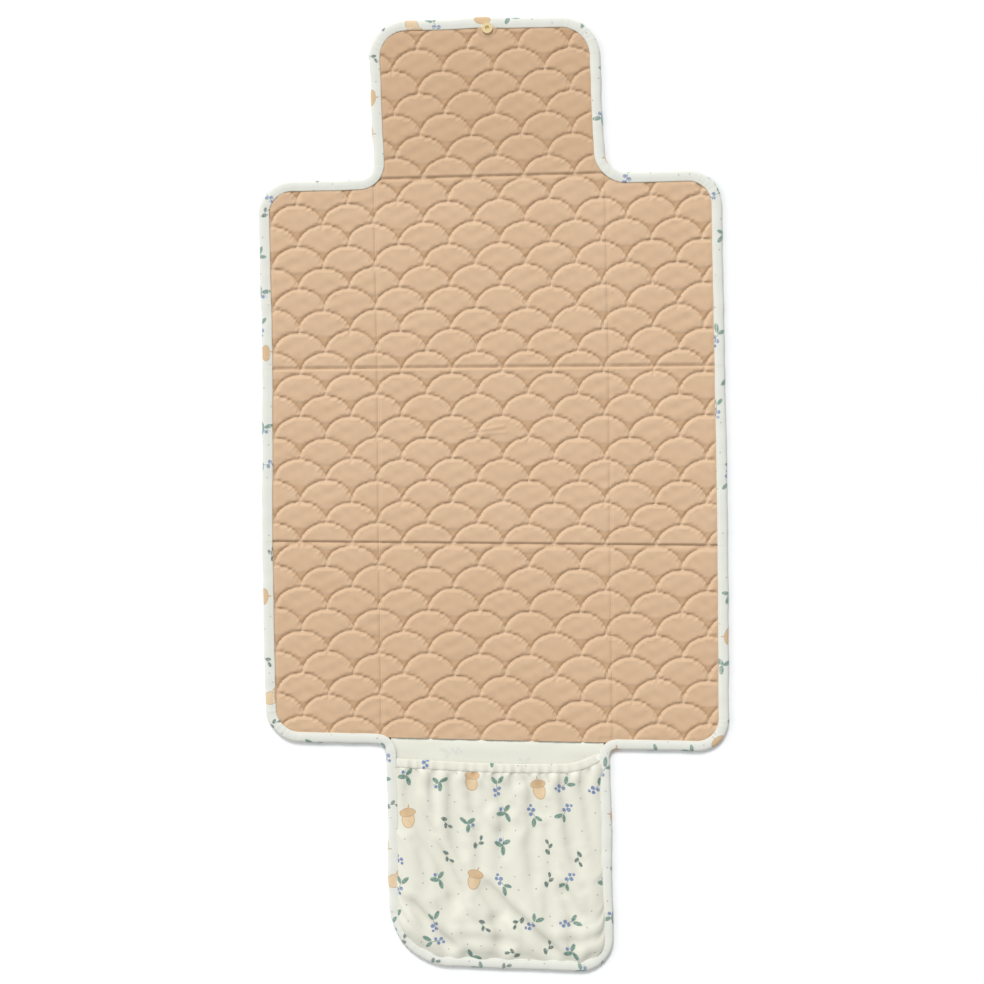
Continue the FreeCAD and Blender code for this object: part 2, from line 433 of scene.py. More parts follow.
def settle_cloth(place, pinned, cut):
    """Blender's cloth: the pinned points stay where the stitches hold them and the others, cut
    a little larger, buckle under the lift of the wadding. Takes and gives grids of points."""
    obj = new_object("settling", place.reshape(-1, 3), cell_corners(place).reshape(-1, 4))
    group = obj.vertex_groups.new(name="pinned")
    group.add(np.flatnonzero(pinned).tolist(), 1.0, "REPLACE")
    obj.shape_key_add(name="Basis")
    key = obj.shape_key_add(name="cut")
    key.data.foreach_set("co", np.asarray(cut, np.float32).ravel())
    cloth = obj.modifiers.new("cloth", "CLOTH")
    configure(cloth.settings, {"vertex_group_mass": group.name, "rest_shape_key": key, **CLOTH_SETTINGS})
    cloth.collision_settings.use_collision = False
    cloth.point_cache.frame_start, cloth.point_cache.frame_end = 1, CLOTH_FRAMES
    scene = bpy.context.scene
    gravity = tuple(scene.gravity)
    scene.gravity = (0, 0, WADDING_LIFT)
    for step in range(1, CLOTH_FRAMES + 1):
        scene.frame_set(step)
    settled = obj.evaluated_get(bpy.context.evaluated_depsgraph_get())
    out = np.zeros(place.size, np.float32)
    settled.data.vertices.foreach_get("co", out)
    scene.frame_set(1)
    scene.gravity = gravity
    mesh = obj.data
    bpy.data.objects.remove(obj)
    bpy.data.meshes.remove(mesh)
    return out.reshape(place.shape).astype(float)


def halve_spacing(grid):
    """The grid with a point put between every two, on a smooth curve through them."""
    for axis in (0, 1):
        grid = np.moveaxis(grid, axis, 0)
        before = np.concatenate([grid[:1], grid[:-2]])
        after = np.concatenate([grid[2:], grid[-1:]])
        finer = np.empty((2 * len(grid) - 1,) + grid.shape[1:])
        finer[::2] = grid
        finer[1::2] = (9 * (grid[:-1] + grid[1:]) - before - after) / 16
        grid = np.moveaxis(finer, 0, axis)
    return grid


# -------- scallop quilting

SCALLOP_WIDTH = 50.5 * MM
SCALLOP_ROW = 21.6 * MM
SCALLOP_X = -117.5 * MM
SCALLOP_Y = SHOULDER - 2.5 * MM
SCALLOP_COLUMNS = range(-4, 9)
QUILT_GRID = 2.5 * MM
# how much longer the cloth is cut than its place, and how deep its seams and stitches sink
QUILT_FULLNESS = 1.05
SEAM_GROOVE = 1.1 * MM
STITCH_GROOVE = 0.27 * MM
# creases left where the pad was rolled: ends, half width and height, in millimetres
QUILT_CREASES = (
    ((-24, 60.5), (10, 65.5), 1.3, 0.7),
    ((-20, 57.0), (12, 59.5), 1.2, 0.5),
    ((-30, 64.0), (-6, 67.5), 1.2, 0.4),
    ((-34, 53.0), (-8, 54.5), 1.3, 0.3),
)


def wander(x, row):
    """How far a row of stitching strays from its place."""
    return 1.1 * MM * smooth_noise(x, row * 0.1, 0.10, 3)


def scallop_lines():
    """Points along every stitched arc."""
    first = math.floor((POCKET_SEAM - SCALLOP_Y) / SCALLOP_ROW)
    last = math.ceil((PAD_TOP - SCALLOP_Y) / SCALLOP_ROW) + 1
    turn = np.linspace(-math.pi / 2, math.pi / 2, 161)
    lines = []
    for row in range(first, last + 1):
        for column in SCALLOP_COLUMNS:
            x = SCALLOP_X + (column + 0.5 * (row % 2)) * SCALLOP_WIDTH + np.sin(turn) * SCALLOP_WIDTH / 2
            y = SCALLOP_Y + row * SCALLOP_ROW - SCALLOP_ROW * (1 - np.cos(turn))
            lines.append(np.stack([x, y + wander(x, row)], 1))
    return lines


def nearest_on_lines(lines, x, y):
    """For each grid point, its nearest stitched point, how far below that it is (above it
    being negative), and how far along its arc that is."""
    points = np.concatenate(lines)
    along = np.concatenate([running_length(line) for line in lines])
    tree = KDTree(len(points))
    for n, place in enumerate(points):
        tree.insert((*place, 0), n)
    tree.balance()
    found = [tree.find((*place, 0))[1:] for place in zip(x.ravel(), y.ravel())]
    which, away = np.array([f[0] for f in found]), np.array([f[1] for f in found])
    nearest = points[which]
    sign = np.where(y.ravel() < nearest[:, 1], 1.0, -1.0)
    return nearest.reshape(x.shape + (2,)), (sign * away).reshape(x.shape), along[which].reshape(x.shape)


def grid_lines(start, end, step, exact, closer=()):
    """Grid places from start to end, with some moved on to the exact seam lines. closer gives
    stretches with a smaller step, as first, last and step."""
    line = np.arange(math.floor(start / step), math.ceil(end / step) + 1) * step
    for first, last, small in closer:
        outside = line[(line < first - 0.3 * step) | (line > last + 0.3 * step)]
        line = np.sort(np.append(outside, np.linspace(first, last, round((last - first) / small) + 1)))
    for value in exact:
        line[np.abs(line - value).argmin()] = value
    return line


def notches(x, y):
    """Where two arcs meet, the cloth between them lies slack and low below a short level
    crease. Gives the slack area, and the crease itself, each from 0 to 1."""
    row = np.ceil((y - SCALLOP_Y) / SCALLOP_ROW)
    crown = SCALLOP_Y + row * SCALLOP_ROW
    across = (x - SCALLOP_X - 0.5 * (row % 2) * SCALLOP_WIDTH) / SCALLOP_WIDTH
    across = np.clip(2 * (across - np.round(across)), -1, 1)
    arc = crown - SCALLOP_ROW * (1 - np.sqrt(1 - across**2)) + wander(x, row)
    ledge = crown - (6.5 + 1.6 * smooth_noise(x, y, 0.07, 15)) * MM
    above = np.clip((y - arc) / (1.2 * MM), 0, 1)
    slack = above * np.clip((ledge - y) / (1.6 * MM) + 0.5, 0, 1)
    return slack, above * hump(y - ledge, 0.9 * MM)


def puffed_quilt(x, y, lines):
    """The quilted face between its stitches, seams and edge, puffed up by the wadding."""
    nearest, away, _ = nearest_on_lines(lines, x, y)
    stitched = np.abs(away) < 0.52 * QUILT_GRID
    seam = np.isin(y, CROSS_SEAMS)
    rim = inset(x, y) < BINDING + 0.6 * MM
    mouth = (np.abs(x) < POCKET_HALF - BINDING) & (y < POCKET_SEAM + 2 * BINDING)
    rim &= ~mouth | (y < QUILT_LOW_EDGE - 0.5 * QUILT_GRID)
    free = ~(stitched | seam | rim)
    on_line = stitched & ~seam & ~rim
    place = np.stack([x, y, np.full(x.shape, STITCH_Z + 1.5 * MM)], -1)
    place[free, 2] += 0.3 * MM * smooth_noise(x, y, 0.011, 11)[free]
    place[on_line, :2] = nearest[on_line]
    place[stitched, 2] = STITCH_Z
    place[rim, 2] = RIM_Z
    place[seam, 2] = np.minimum(place[seam, 2], SEAM_Z)
    cut = place * (1.0, QUILT_FULLNESS, 1.0)
    cut[..., 0] += 0.10 * MM * smooth_noise(x, y, 0.035, 12)
    cut[..., 1] += 0.22 * MM * smooth_noise(x, y, 0.035, 13)
    return settle_cloth(place, ~free, cut)


def over_snap(place, flat_inset):
    """The height that the cover needs to lie over the stiffening patch of the press stud."""
    laid = lay(place)
    start, end = low("snap_tab_patch"), high("snap_tab_patch")
    away = np.hypot(laid[..., 0] - (start.x + end.x) / 2, laid[..., 1] - (start.y + end.y) / 2)
    reach = (end.x - start.x) / 2
    height = np.interp(away, [reach + 1 * MM, reach + 5 * MM], [end.z + 0.2 * MM, 0])
    return height * np.interp(flat_inset, [BINDING - 2 * MM, BINDING - 1 * MM], [0, 1])


def quilt_surface():
    """The whole quilted face at twice the simulated resolution: its points, their places in
    plan, how far each is from a stitch and along it, and where the cloth is slack."""
    xs = grid_lines(-HALF_WIDTH, HALF_WIDTH, QUILT_GRID, (-WING_SEAM, WING_SEAM))
    ys = grid_lines(POCKET_SEAM, PAD_TOP, QUILT_GRID, CROSS_SEAMS)
    x, y = np.meshgrid(xs, ys)
    lines = scallop_lines()
    fine = halve_spacing(puffed_quilt(x, y, lines))
    flat = halve_spacing(np.stack([x, y], -1))
    _, away, along = nearest_on_lines(lines, fine[..., 0], fine[..., 1])
    x, y, z = flat[..., 0], flat[..., 1], fine[..., 2]
    slack, notch = notches(x, y)
    z -= slack * 0.30 * (z - STITCH_Z).clip(0, None) + notch * 0.35 * MM
    for value in CROSS_SEAMS:
        z -= SEAM_GROOVE * hump(y - value, SEAM_GROOVE)
    z -= 0.36 * hump(np.abs(x) - WING_SEAM, 1.6 * MM) * (z - QUILT_BACK_Z)
    z -= STITCH_GROOVE * hump(away, 1.0 * MM)
    for start, end, width, tall in QUILT_CREASES:
        z += tall * MM * hump(beside_run(x / MM, y / MM, start, end)[1], width)
    fine[..., 2] = np.clip(z, QUILT_BACK_Z + 0.3 * MM, PAD_THICK)
    fine[..., 2] = np.maximum(fine[..., 2], over_snap(fine, inset(x, y)))
    return fine, flat, away, along, slack


def quilt_pieces(material):
    """The quilted cover and the wadding in it, a padded piece to each panel but the pocket."""
    surface, flat, away, along, slack = quilt_surface()
    bottom = surface.copy()
    bottom[..., 2] = QUILT_BACK_Z
    x, y = flat[..., 0], flat[..., 1]
    beyond_pocket = (y > QUILT_LOW_EDGE) | (np.abs(x) > POCKET_HALF - TUCKED_IN)
    cells = whole_cells((inset(x, y) > TUCKED_IN) & beyond_pocket)
    # the strips of cloth just above and just below a line of stitching: the strip above gets painted shade,
    # strong at the arc and faint over the rest of each puff
    above = np.interp(away / MM, [-11, -6, -0.8, -0.4, 0.2, 3, 11], [0.25, 0.3, 1, 1, 0, 0, 0.25])
    # the strip below gets a painted highlight, where the slope under the arc faces the light
    below = np.interp(away / MM, [0.2, 0.7, 1.0, 2.2], [0, 1, 1, 0])
    floats = dict(stitch_away=np.abs(away), stitch_along=along, above=above, below=below, slack=slack)
    for name, where, link in regions(*cell_middles(x, y)):
        if name == "pocket":
            continue
        obj = padded_piece(f"quilt_{name}", surface, bottom, cells & where, flat, floats)
        layers = [f"{name}_quilted_cover", f"{name}_wadding"]
        finish_piece(obj, material, "quilted_cotton", layers, **link)


# -------- printed cloth underneath

BACK_GRID = 4 * MM
# where the cloth needs a closer grid: round the stud and across the folds
BENDS_X = (
    (*around(-WING_SEAM, 4 * MM), 0.5 * MM),
    (*around(STUD.x, 11 * MM), 1 * MM),
    (*around(WING_SEAM, 4 * MM), 0.5 * MM),
)
BENDS_Y = (
    (*around(STUD.y, 11 * MM), 1 * MM),
    (POCKET_BEND[1] - 1 * MM, POCKET_SEAM + 1 * MM, 1 * MM),
    (*around(MIDDLE_SEAM, 6.5 * MM), 0.65 * MM),
    (*around(UPPER_SEAM, 4 * MM), 0.5 * MM),
    (TAB_BEND[0] - 1 * MM, TAB_BEND[1] + 1 * MM, 1 * MM),
)


def stud_distance(x, y):
    """How far a place on the flat cloth is from the stud, once the cloth is laid."""
    laid = lay(np.stack([x, y], -1))
    return np.hypot(laid[..., 0] - STUD.x, laid[..., 1] - STUD.y)


def back_pieces(material):
    """The printed cotton on the underside, one piece to each panel."""
    xs = grid_lines(-HALF_WIDTH, HALF_WIDTH, BACK_GRID, (-WING_SEAM, WING_SEAM), BENDS_X)
    ys = grid_lines(PAD_BOTTOM, PAD_TOP, BACK_GRID, (POCKET_SEAM, *CROSS_SEAMS), BENDS_Y)
    x, y = np.meshgrid(xs, ys)
    depth = np.maximum(inset(x, y), pocket_inset(x, y))
    z = np.interp(depth, [3 * MM, 14 * MM], [BACK_RIM_Z, BACK_Z])
    z += 0.12 * MM * smooth_noise(x, y, 0.05, 21)
    # the cloth lies over the stud's base
    raised = np.interp(stud_distance(x, y), [6.6 * MM, 9.5 * MM], [1, 0])
    z += raised * (high("snap_stud").z + 0.1 * MM - z)
    cells = whole_cells(depth > 2.5 * MM)
    surface = np.stack([x, y, z], -1)
    for name, where, link in regions(*cell_middles(x, y)):
        obj = sheet_piece(f"back_{name}", surface, cells & where, surface[..., :2], facing_down=True)
        finish_piece(obj, material, "outer_cotton", [f"{name}_outer_shell"], **link)


# -------- binding

# how far round the strip its line of stitching is
STITCH_AT = 20.3 * MM
# across the folded strip, from its edge under the pad round to its edge on top: in from
# the outline, and height
BINDING_SECTION = (
    (10.0, 0.30), (7.0, 0.12), (4.0, 0.05), (2.0, 0.10), (0.7, 0.55), (0.1, 1.40),
    (0.0, 2.40), (0.3, 3.30), (1.1, 4.05), (2.4, 4.50), (4.4, 4.72), (6.4, 4.68),
    (7.9, 4.48), (8.6, 4.34), (9.3, 4.30), (9.9, 4.05), (10.15, 3.70), (10.0, 3.20),
)


def binding_grid():
    """The folded strip all round the pad, as a grid of points, and the length round the pad
    and the width round the strip that each is at."""
    points, tangents, run = outline()
    # a station on each seam that is cut open, so that the strip is cut straight there
    for value in (MIDDLE_SEAM, UPPER_SEAM):
        for side in (-HALF_WIDTH, HALF_WIDTH):
            away = np.hypot(points[:, 0] - side, points[:, 1] - value)
            points[away.argmin(), 1] = value
    run = np.append(run, run[-1] + run[1])
    points = np.concatenate([points, points[:1]])
    tangents = np.concatenate([tangents, tangents[:1]])
    x, y = points[:, 0], points[:, 1]
    section = np.array(BINDING_SECTION) * MM
    inner = np.clip(section[:, 0] / BINDING, 0, 1)
    upper = np.clip((section[:, 1] - 2.4 * MM) / (2.3 * MM), 0, 1)
    # the strip wavers, dips at the middle of the tab, puckers round corners and ripples
    at_top = y > PAD_TOP - BINDING
    wave = 0.45 * MM * smooth_noise(x, y, 0.09, 5) + 0.25 * MM * smooth_noise(x, y, 0.03, 6)
    wave += 1.4 * MM * hump(x, 20 * MM) * at_top
    turn = np.abs(np.gradient(np.unwrap(np.arctan2(tangents[:, 1], tangents[:, 0])), run))
    corner = np.clip(np.convolve(turn, np.ones(9) / 9, "same") / 25, 0, 1)
    pucker = np.sin(2 * math.pi * run / (5.5 * MM) + 1.5 * smooth_noise(x, y, 0.02, 8))
    ripple = 0.16 * MM * smooth_noise(run, run * 0, 0.02, 9) + 0.12 * MM * smooth_noise(x, y, 0.012, 10)
    over_patch = 0.4 * MM * hump(x, high("snap_tab_patch").x + 3 * MM, 4) * at_top
    offset = section[:, 0] - wave[:, None] * (1 - 0.5 * inner)
    height = section[:, 1] + upper * (0.22 * MM * pucker * corner + ripple)[:, None]
    height += inner * upper * over_patch[:, None]
    grid = np.empty((len(run), len(section), 3))
    grid[..., 0] = x[:, None] + tangents[:, 1:] * offset
    grid[..., 1] = y[:, None] - tangents[:, :1] * offset
    grid[..., 2] = np.maximum(height, 0.02 * MM)
    return grid, points, run, running_length(section)


def binding_pieces(material):
    """The binding, a length to each panel. The tab and the pocket take the middle ones' too."""
    grid, points, run, wrap = binding_grid()
    uv = np.stack(np.broadcast_arrays(run[:, None], wrap), -1)
    middles = np.repeat((points[1:, None] + points[:-1, None]) / 2, len(wrap) - 1, 1)
    x, y = middles[..., 0], middles[..., 1]
    tab = (y > SHOULDER - 1 * MM) & (np.abs(x) < WING_SEAM + 10 * MM)
    pocket = (y < POCKET_SEAM + 1 * MM) & (np.abs(x) < WING_SEAM)
    joined_to = {"tab": (tab, "upper_centre_binding"), "pocket": (pocket, "lower_centre_binding")}
    for name, where, link in regions(x, np.clip(y, POCKET_SEAM + MM, SHOULDER - MM)):
        where, layers = where & ~tab & ~pocket, [f"{name}_binding"]
        if name in joined_to:
            where = joined_to[name][0]
            layers.append(joined_to[name][1])
        if not where.any():
            continue
        obj = sheet_piece(f"binding_{name}", grid, where, uv)
        finish_piece(obj, material, "binding_cotton", layers, **link)


# -------- pocket

POCKET_FOLD = bend_y("lower_centre", "pocket", *POCKET_BEND)
POUCH_INSET = 6.5 * MM
POUCH_HALF = POCKET_HALF - POUCH_INSET
# rounds of settling, the cut width and length of the front against its place, and the part
# of that rectangle that its round corners leave
POUCH_ROUNDS = 60
POUCH_WIDER = 1.10
POUCH_LONGER = 1.035
# folds of the pocket front: half width, height and route, in millimetres
POUCH_FOLDS = (
    (5.5, -4.2, ((-94, -304), (-76, -336), (-57, -369), (-46, -396), (-44, -428))),
    (5.0, -4.7, ((-16, -388), (-4, -412), (1, -436), (3, -464))),
    (5.5, -4.0, ((-10, -400), (16, -424), (40, -445), (60, -462))),
    (5.5, -3.9, ((-92, -408), (-76, -428), (-60, -444), (-46, -462))),
    (4.5, -2.5, ((60, -388), (72, -418), (74, -462))),
    (9.0, 1.8, ((-74, -296), (-56, -350), (-34, -392), (-20, -440))),
    (9.0, 1.6, ((24, -286), (20, -350), (28, -410), (34, -452))),
    (9.0, 1.6, ((-98, -336), (-80, -388), (-66, -420))),
    (8.0, 1.4, ((54, -290), (60, -350), (88, -420))),
    (3.2, -1.7, ((-86, -272), (-88, -300), (-80, -340))),
    (2.8, -1.9, ((-63, -272), (-67, -310), (-66, -352))),
    (3.0, -1.9, ((-46, -272), (-45, -318), (-38, -372))),
    (2.5, -1.5, ((-28, -272), (-30, -305), (-26, -330))),
    (3.0, -2.0, ((-3, -272), (6, -318), (4, -372))),
    (2.6, -1.6, ((16, -272), (21, -320), (20, -345))),
    (3.0, -2.0, ((27, -272), (34, -335), (36, -400))),
    (2.6, -1.5, ((43, -270), (41, -300), (44, -325))),
    (3.0, -1.9, ((64, -268), (71, -325), (80, -386))),
    (2.8, -1.5, ((84, -262), (90, -310), (95, -380))),
)
# round the hem casing, from its lower edge over the top and back: up from the front's edge,
# height, and how much of the front's own rise it follows
HEM_SECTION = (
    (0.3, 0.5, 0.4), (-0.2, 0.6, 0.9), (0.2, 0.8, 1.0), (1.4, 1.3, 0.9), (3.2, 1.6, 0.7),
    (5.6, 1.6, 0.5), (7.6, 1.5, 0.4), (8.7, 1.2, 0.3), (9.0, 0.8, 0.2), (8.6, 0.5, 0.1),
    (6.0, 0.35, 0.0), (3.0, 0.3, 0.0), (0.6, 0.3, 0.0),
)
# the elastic in the hem, from and to, up from the front's edge
ELASTIC_SPAN = (1.6 * MM, 7.6 * MM)
LINING_GRID = 2.5 * MM


def hem_line(x):
    """Where the lower edge of the hem casing runs: level, and drawn up at its right end."""
    rise = np.clip((x - 66 * MM) / (45 * MM), 0, 1)
    return HEM_BOTTOM + 1.0 * MM + 17 * MM * rise**2 - 2.5 * MM * np.cos(x / (60 * MM)) * (1 - rise)


def pouch_grid(columns, rows):
    """Places of the pocket front's cloth in plan, from its hem down to the binding, and each
    one's share of the way from the middle to the sides and from top to bottom."""
    across, down = np.meshgrid(np.linspace(-1, 1, columns), np.linspace(0, 1, rows))
    x = across * POUCH_HALF
    radius = np.where(across < 0, *POCKET_CORNERS) - POUCH_INSET
    beyond = np.clip(np.abs(x) - (POUCH_HALF - radius), 0, radius)
    floor = PAD_BOTTOM + POUCH_INSET + radius - np.sqrt(np.maximum(radius**2 - beyond**2, 0))
    top = hem_line(x)
    return x, top + (floor - top) * down, across, down


def folded_shape(x, y, across, down):
    """The shape the full pocket front is laid in before it settles, and how low it may be:
    over the lining and the stud's rivet."""
    near = np.hypot(x - STUD.x, y - STUD.y)
    floor = POUCH_REST_Z + np.interp(near, [7 * MM, 16 * MM], [1.2 * MM, 0])
    aside = 1 - np.abs(across)
    rim = np.clip(aside / 0.16, 0, 1)
    full = np.interp(down, [0, 0.1, 0.35, 0.62, 0.84, 0.93, 1], [0.6, 1.6, 3.2, 5.0, 6.6, 4.9, 0.2])
    z = floor + full * MM * np.sin(rim * math.pi / 2) ** 0.7
    for width, tall, route in POUCH_FOLDS:
        z += tall * MM * fold_along(x / MM, y / MM, route, width)
    level = x * 0
    gather = np.sin(2 * math.pi * x / (9.5 * MM) + 2.2 * smooth_noise(x, level, 0.05, 31))
    gather *= 0.8 + 0.35 * smooth_noise(x, level, 0.03, 32)
    reach = (0.20 + 0.10 * smooth_noise(x, level, 0.024, 34)) * np.clip(6 * aside, 0, 1)
    z += 1.05 * MM * (1 + gather) * hump(down, np.maximum(reach, 0.03))
    loose = smooth_noise(x * 1.5, y * 0.3 + x * 0.2, 0.03, 33)
    return z + 0.45 * MM * loose * np.clip(down / 0.1, 0, 1) * rim, floor


def gathered_cloth(x, y, across, down, rounds):
    """The cut cloth is wider than the hem and the binding that it is sewn into. Points move
    under gravity and damping, while every thread keeps its cut length and bends stiffly."""
    z, floor = folded_shape(x, y, across, down)
    ceiling = POCKET_TOP - 0.2 * MM
    place = np.stack([x, y, np.clip(z, floor, ceiling)], -1)
    free = np.pad(np.ones((x.shape[0] - 2, x.shape[1] - 2)), 1)
    place[-1, :, 2] = place[:, 0, 2] = place[:, -1, 2] = POUCH_REST_Z
    cuts = [
        (axis, fuller * np.linalg.norm(np.diff(place, axis=axis), axis=2))
        for axis, fuller in ((1, 1.012), (0, 1.008))
    ]
    threads = [
        (sum_runs(cut, axis, apart) * share, axis, apart, firmness)
        for apart, share, firmness in ((1, 1.0, 1.0), (2, 1.0, 0.25), (4, 0.998, 0.10))
        for axis, cut in cuts
    ]
    before = place.copy()
    for _ in range(rounds):
        moved = place + 0.92 * (place - before)
        moved[..., 2] -= 0.002 * MM
        before = place
        place = np.where(free[..., None] > 0, moved, place)
        for _ in range(2):
            for thread in threads:
                pull(place, free, *thread)
        place[..., 2] = np.where(free > 0, np.clip(place[..., 2], floor, ceiling), place[..., 2])
    return place


def sum_runs(lengths, axis, count):
    """Lengths of runs of that many edges in a row."""
    spot = np.moveaxis(lengths, axis, 0)
    size = len(spot) - count + 1
    return np.moveaxis(sum(spot[n : n + size] for n in range(count)), 0, axis)


def pull(place, free, length, axis, apart, firmness):
    """Moves points that are apart steps away from each other towards their cut distance."""
    spot, loose, length = (np.moveaxis(grid, axis, 0) for grid in (place, free, length))
    for first in range(2 * apart):
        a = np.arange(first, len(spot) - apart, 2 * apart)
        b = a + apart
        gap = spot[b] - spot[a]
        far = np.linalg.norm(gap, axis=2)
        weight = loose[a] + loose[b]
        fix = firmness * (far - length[a]) / np.maximum(far * weight, 1e-9)
        spot[a] += gap * (fix * loose[a])[..., None]
        spot[b] -= gap * (fix * loose[b])[..., None]


def pocket_front(material):
    """The gathered front. Gives its top edge, from left to right."""
    x, y, across, down = pouch_grid(121, 91)
    place = gathered_cloth(x, y, across, down, POUCH_ROUNDS)
    z = place[..., 2]
    for _ in range(3):
        beside = z[:-2, 1:-1] + z[2:, 1:-1] + z[1:-1, :-2] + z[1:-1, 2:]
        z[1:-1, 1:-1] = (z[1:-1, 1:-1] * 2 + beside) / 6
    wider = np.interp(down, [0, 0.2, 1], [POUCH_WIDER, 1.05, 1.03])
    # each piece takes its own part of the print
    flat = np.stack([x * wider + 0.11, HEM_BOTTOM + (y - HEM_BOTTOM) * POUCH_LONGER + 0.02], -1)
    front = halve_spacing(place)[::-1]
    front[..., 2] = np.minimum(front[..., 2], POCKET_TOP)
    cells = np.ones((front.shape[0] - 1, front.shape[1] - 1), bool)
    cloth = sheet_piece("pocket_front_cloth", front, cells, halve_spacing(flat)[::-1])
    finish_piece(cloth, material, "pocket_cotton", ["pocket_front"], **POCKET_FOLD)
    return front[-1]


def strip_along(name, top, up, across, height, uv):
    """A strip that runs along the front's top edge, across being how far up from it."""
    grid = np.empty((len(top), len(across), 3))
    grid[..., :2] = top[:, None, :2] + up[:, None] * across[:, None]
    grid[..., 2] = height
    cells = np.ones((len(top) - 1, len(across) - 1), bool)
    return sheet_piece(name, grid[::-1], cells, np.stack(np.broadcast_arrays(*uv), -1)[::-1])


def pocket_hem(material, elastic, top):
    """The casing along the front's top edge, a flat tube, and the elastic that draws it in."""
    x = top[:, 0]
    slope = np.gradient(top[:, 1], x)
    up = np.stack([-slope, np.ones(len(x))], 1) / np.hypot(slope, 1)[:, None]
    lift = top[:, 2] - POUCH_REST_Z
    lift = lift * 0.65 + 0.35 * lift.mean()
    out, rise, follow = np.array(HEM_SECTION).T
    ends = np.clip((POUCH_HALF - np.abs(x)) / (10 * MM), 0.25, 1)
    height = LINING_Z + 0.35 * MM + ends[:, None] * (rise * MM + follow * lift[:, None])
    run, around = running_length(top), running_length(np.stack([out, rise], 1)) * MM
    uv = (run[:, None] + 0.7, around + 0.31)
    casing = strip_along("pocket_hem_casing", top, up, out * MM, height, uv)
    finish_piece(casing, material, "pocket_cotton", ["pocket_hem"], **POCKET_FOLD)

    span, uv = np.array(ELASTIC_SPAN), (x[:, None], np.array(ELASTIC_SPAN) - ELASTIC_SPAN[0])
    ribbon = strip_along("pocket_elastic_ribbon", top, up, span, LINING_Z + 1.4 * MM, uv)
    finish_piece(ribbon, elastic, "elastic", ["pocket_hem_elastic"], **POCKET_FOLD)


def pocket_lining(material):
    """The lining, from under the quilt's edge down to the bottom of the pocket."""
    xs = np.arange(-POCKET_HALF, POCKET_HALF + LINING_GRID, LINING_GRID)
    top = QUILT_LOW_EDGE + 2 * LINING_GRID
    ys = grid_lines(PAD_BOTTOM, top, LINING_GRID, (POCKET_SEAM,), BENDS_Y[:2])
    x, y = np.meshgrid(xs, ys)
    z = LINING_Z + 0.25 * MM * smooth_noise(x, y, 0.06, 41)
    crescent = hump(y - QUILT_LOW_EDGE + 9 * MM, 7 * MM)
    z += crescent * 0.5 * MM * (1 + smooth_noise(x, y * 0.2, 0.05, 42))
    z += np.interp(stud_distance(x, y), [11 * MM, 18 * MM], [0.75 * MM, 0])
    tuck = np.clip((y - QUILT_LOW_EDGE + 1.5 * MM) / (2.5 * MM), 0, 1)
    z += (QUILT_BACK_Z - 0.15 * MM - z) * tuck
    cells = whole_cells(pocket_inset(x, y) > TUCKED_IN)
    flat = np.stack([x + 0.4, y], -1)
    lining = sheet_piece("pocket_lining_cloth", np.stack([x, y, z], -1), cells, flat)
    finish_piece(lining, material, "pocket_cotton", ["pocket_lining", "pocket_seam_strip"], **POCKET_FOLD)


# -------- materials


class Nodes:
    """Short names for building a material's node tree."""

    def __init__(self, name):
        self.material = bpy.data.materials.new(name)
        self.material.use_nodes = True
        self.tree = self.material.node_tree
        self.shader = self.tree.nodes["Principled BSDF"]

    def put(self, values, sockets):
        """Links each value to its socket, or sets it there when it is a constant."""
        for key, value in values.items():
            if isinstance(value, bpy.types.NodeSocket):
                self.tree.links.new(value, sockets[key])
            else:
                sockets[key].default_value = value

    def add(self, kind, values, **settings):
        node = self.tree.nodes.new(kind)
        configure(node, settings)
        self.put(values, node.inputs)
        return node.outputs

    def surface(self, colour, roughness, normal=None, **more):
        values = {"Base Color": colour, "Roughness": roughness, "Normal": normal, **more}
        self.put({key: value for key, value in values.items() if value is not None}, self.shader.inputs)
        return self.material

    def math(self, operation, *values, clamp=False):
        return self.add("ShaderNodeMath", dict(enumerate(values)), operation=operation, use_clamp=clamp)[0]

    def times(self, *values):
        return reduce(lambda first, second: self.math("MULTIPLY", first, second), values)

    def joined(self, masks):
        return reduce(lambda first, second: self.math("MAXIMUM", first, second), masks)

    def apart(self, first, second):
        return self.math("ABSOLUTE", self.math("SUBTRACT", first, second))

    def vector(self, operation, *values):
        outputs = self.add("ShaderNodeVectorMath", dict(enumerate(values)), operation=operation)
        return outputs["Value" if operation == "LENGTH" else "Vector"]

    def split(self, where):
        return self.add("ShaderNodeSeparateXYZ", {0: where})

    def mix(self, share, first, second):
        return self.add("ShaderNodeMix", {0: share, 6: first, 7: second}, data_type="RGBA")[2]

    def noise(self, where, scale, detail=2.0):
        return self.add("ShaderNodeTexNoise", {"Vector": where, "Scale": scale, "Detail": detail})["Fac"]

    def remap(self, value, low_in, high_in, low_out, high_out):
        values = {"From Min": low_in, "From Max": high_in, "To Min": low_out, "To Max": high_out}
        return self.add("ShaderNodeMapRange", {"Value": value, **values})["Result"]

    def bump(self, height, strength, distance):
        return self.add("ShaderNodeBump", {"Height": height, "Strength": strength, "Distance": distance})[0]

    def attribute(self, name):
        return self.add("ShaderNodeAttribute", {}, attribute_name=name)["Fac"]

    def cloth_uv(self):
        return self.add("ShaderNodeUVMap", {}, uv_map="cloth")["UV"]

    def object_place(self):
        return self.add("ShaderNodeTexCoord", {})["Object"]


def rgb(red, green, blue):
    """A colour given as display values from 0 to 255."""
    shares = (c / 255 for c in (red, green, blue))
    return tuple(((c + 0.055) / 1.055) ** 2.4 if c > 0.04 else c / 12.92 for c in shares) + (1.0,)


